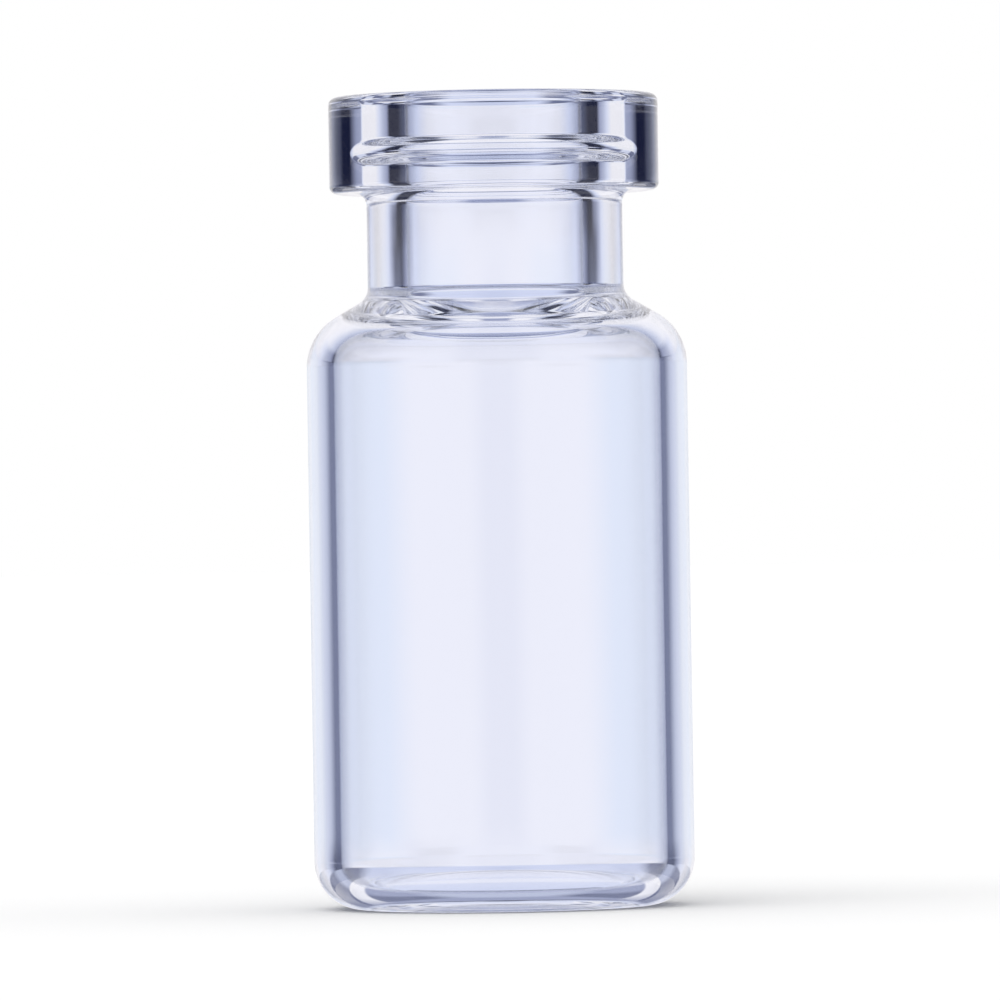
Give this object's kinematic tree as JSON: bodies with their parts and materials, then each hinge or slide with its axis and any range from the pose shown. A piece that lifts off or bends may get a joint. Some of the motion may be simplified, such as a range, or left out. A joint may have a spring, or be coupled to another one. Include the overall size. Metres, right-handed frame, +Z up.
{
  "type": "glass sample vial",
  "caption": "Clear glass sample vial with a straight body, sloped shoulder, short neck and a thick crimp lip round an open bore, standing on a ring with a pushed-up base.",
  "frame": {"origin": "centre of the ring that the vial stands on", "axes": "+Z up along the vial's axis, from the base to the open mouth"},
  "size_m": [0.015, 0.015, 0.032],
  "materials": {
    "glass": "clear, fire polished"
  },
  "bodies": {
    "root": {"vial": "glass"}
  },
  "joints": []
}
